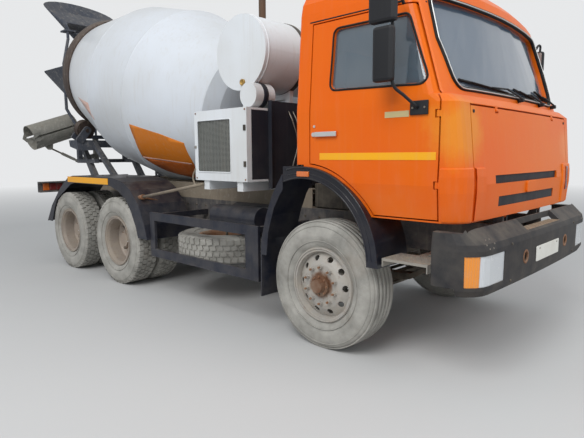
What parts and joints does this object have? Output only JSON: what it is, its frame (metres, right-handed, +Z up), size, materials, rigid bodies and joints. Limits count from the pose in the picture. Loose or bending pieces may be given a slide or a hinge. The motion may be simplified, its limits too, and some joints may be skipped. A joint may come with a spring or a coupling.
{
  "type": "concrete mixer truck",
  "caption": "Cab-over truck with tilting cab, opening doors, steered front wheels, twin rear wheels, a turning mixer drum, hoppers and a swinging, folding delivery chute",
  "frame": {"origin": "on the ground under the middle of the truck's box, where the lowest points of all tyres lie at height 0", "axes": "+X points to the truck's front, +Y to its left and +Z up"},
  "size_m": [8.08, 2.8, 4.236],
  "materials": {
    "cab_paint": "glossy orange paint, sun-faded, dusty",
    "chassis_paint": "dark navy paint, chipped and dusty",
    "mixer_grey": "grey paint with dried concrete and rust",
    "drum_paint": "off-white paint, dusty",
    "bumper_plastic": "dark grey moulded plastic",
    "black_metal": "dark oily metal",
    "engine_metal": "bare casting, dusty",
    "hub_rust": "rusty brown, dusty",
    "tyre": "dusty black tyre",
    "glass": "clear pane, lightly dusty",
    "lamp": "lamp lenses",
    "tank_grey": "dull metal",
    "trim_black": "black plastic",
    "stack_rust": "heat-browned steel pipe"
  },
  "bodies": {
    "chassis": {"frame": "chassis_paint", "bumper": "bumper_plastic", "headlamps": "lamp", "drivetrain": "engine_metal", "axles": "black_metal", "springs": "black_metal", "steps": "tank_grey", "mudguards": "chassis_paint", "side_tanks": "tank_grey", "side_guards": "chassis_paint", "spare_wheel": "tyre", "subframe": "mixer_grey", "drum_drive": "mixer_grey", "roller_station": "mixer_grey", "loading_hopper": "chassis_paint", "discharge_hopper": "mixer_grey", "ladder": "mixer_grey", "water_tank": "drum_paint", "cooler_cabinet": "drum_paint", "rear_shield": "trim_black", "exhaust_stack": "stack_rust"},
    "drum": {"drum": "drum_paint"},
    "roller_right": {"roller_right": "mixer_grey"},
    "roller_left": {"roller_left": "mixer_grey"},
    "chute_swivel": {"chute_swivel": "mixer_grey"},
    "chute_main": {"chute_main": "mixer_grey"},
    "chute_fold": {"chute_fold": "mixer_grey"},
    "jack_tube": {"jack_tube": "black_metal"},
    "jack_rod": {"jack_rod": "black_metal"},
    "cab": {"cab_shell": "cab_paint", "cab_glass": "glass", "cab_interior": "trim_black", "front_wings": "chassis_paint"},
    "steering_wheel": {"steering_wheel": "trim_black"},
    "front_lid": {"front_lid": "cab_paint"},
    "door_right": {"door_right": "cab_paint", "door_glass_right": "glass", "mirror_right": "trim_black"},
    "door_left": {"door_left": "cab_paint", "door_glass_left": "glass", "mirror_left": "trim_black"},
    "knuckle_right": {"knuckle_right": "black_metal"},
    "knuckle_left": {"knuckle_left": "black_metal"},
    "track_rod": {"track_rod": "black_metal"},
    "front_wheel_right": {"front_wheel_right": "hub_rust", "front_tyre_right": "tyre"},
    "front_wheel_left": {"front_wheel_left": "hub_rust", "front_tyre_left": "tyre"},
    "mid_wheel_right": {"mid_wheel_right": "hub_rust", "mid_tyres_right": "tyre"},
    "mid_wheel_left": {"mid_wheel_left": "hub_rust", "mid_tyres_left": "tyre"},
    "rear_wheel_right": {"rear_wheel_right": "hub_rust", "rear_tyres_right": "tyre"},
    "rear_wheel_left": {"rear_wheel_left": "hub_rust", "rear_tyres_left": "tyre"}
  },
  "joints": [
    {"name": "drum_spin", "type": "hinge", "parent": "chassis", "child": "drum", "pos_m": [-2.419, 0, 2.78], "axis": [0.9716, 0, -0.2365], "continuous": true},
    {"name": "roller_right_spin", "type": "hinge", "parent": "chassis", "child": "roller_right", "pos_m": [-2.61701, -0.54371, 1.96651], "axis": [0.9716, 0, -0.2365], "continuous": true},
    {"name": "roller_left_spin", "type": "hinge", "parent": "chassis", "child": "roller_left", "pos_m": [-2.61701, 0.54371, 1.96651], "axis": [0.9716, 0, -0.2365], "continuous": true},
    {"name": "chute_swing", "type": "hinge", "parent": "chassis", "child": "chute_swivel", "pos_m": [-3.4, 0, 1.925], "axis": [0, 0, 1], "range_deg": [-180, 0]},
    {"name": "chute_tilt", "type": "hinge", "parent": "chute_swivel", "child": "chute_main", "pos_m": [-3.4, -0.1, 1.925], "axis": [-1, 0, 0], "range_deg": [-15, 12]},
    {"name": "chute_fold_out", "type": "hinge", "parent": "chute_main", "child": "chute_fold", "pos_m": [-3.4, -1.09791, 1.83469], "axis": [1, 0, 0], "range_deg": [0, 180]},
    {"name": "jack_swing", "type": "hinge", "parent": "chute_swivel", "child": "jack_tube", "pos_m": [-3.4, -0.33, 1.47], "axis": [-1, 0, 0], "range_deg": [-16, 13]},
    {"name": "jack_slide", "type": "slide", "parent": "jack_tube", "child": "jack_rod", "axis": [0, -0.9006, 0.4347], "range_m": [-0.133, 0.107]},
    {"name": "cab_tilt", "type": "hinge", "parent": "chassis", "child": "cab", "pos_m": [3.82, 0, 1.1], "axis": [0, 1, 0], "range_deg": [0, 60]},
    {"name": "front_lid_open", "type": "hinge", "parent": "cab", "child": "front_lid", "pos_m": [3.834, 0, 1.843], "axis": [0, -1, 0], "range_deg": [0, 75]},
    {"name": "door_right_open", "type": "hinge", "parent": "cab", "child": "door_right", "pos_m": [3.712, -1.19, 1.5], "axis": [0, 0, 1], "range_deg": [0, 70]},
    {"name": "door_left_open", "type": "hinge", "parent": "cab", "child": "door_left", "pos_m": [3.712, 1.19, 1.5], "axis": [0, 0, -1], "range_deg": [0, 70]},
    {"name": "steer_right", "type": "hinge", "parent": "chassis", "child": "knuckle_right", "pos_m": [2.72, -0.89, 0.52], "axis": [0, 0, 1], "range_deg": [-36, 36]},
    {"name": "steer_left", "type": "hinge", "parent": "chassis", "child": "knuckle_left", "pos_m": [2.72, 0.89, 0.52], "axis": [0, 0, 1], "range_deg": [-36, 36]},
    {"name": "track_rod_pivot", "type": "hinge", "parent": "knuckle_right", "child": "track_rod", "pos_m": [2.525, -0.89, 0.408], "axis": [0, 0, 1], "range_deg": [-36, 36]},
    {"name": "steering_wheel_turn", "type": "hinge", "parent": "cab", "child": "steering_wheel", "pos_m": [3.33, 0.585, 1.93], "axis": [-0.5736, 0, 0.8192], "range_deg": [-720, 720]},
    {"name": "front_wheel_right_spin", "type": "hinge", "parent": "knuckle_right", "child": "front_wheel_right", "pos_m": [2.72, -1.02, 0.52], "axis": [0, 1, 0], "continuous": true},
    {"name": "front_wheel_left_spin", "type": "hinge", "parent": "knuckle_left", "child": "front_wheel_left", "pos_m": [2.72, 1.02, 0.52], "axis": [0, 1, 0], "continuous": true},
    {"name": "mid_wheel_right_spin", "type": "hinge", "parent": "chassis", "child": "mid_wheel_right", "pos_m": [-0.47, -0.922, 0.528], "axis": [0, 1, 0], "continuous": true},
    {"name": "mid_wheel_left_spin", "type": "hinge", "parent": "chassis", "child": "mid_wheel_left", "pos_m": [-0.47, 0.922, 0.528], "axis": [0, 1, 0], "continuous": true},
    {"name": "rear_wheel_right_spin", "type": "hinge", "parent": "chassis", "child": "rear_wheel_right", "pos_m": [-1.79, -0.922, 0.528], "axis": [0, 1, 0], "continuous": true},
    {"name": "rear_wheel_left_spin", "type": "hinge", "parent": "chassis", "child": "rear_wheel_left", "pos_m": [-1.79, 0.922, 0.528], "axis": [0, 1, 0], "continuous": true}
  ],
  "couplings": [
    {"joint": "roller_right_spin", "follows": "drum_spin", "ratio": -6.1286},
    {"joint": "roller_left_spin", "follows": "drum_spin", "ratio": -6.1286},
    {"joint": "steer_left", "follows": "steer_right", "ratio": 1},
    {"joint": "track_rod_pivot", "follows": "steer_right", "ratio": -1},
    {"joint": "steering_wheel_turn", "follows": "steer_right", "ratio": 20},
    {"joint": "jack_swing", "follows": "chute_tilt", "ratio": 1.045},
    {"joint": "jack_slide", "follows": "chute_tilt", "m_per_rad": 0.5}
  ]
}
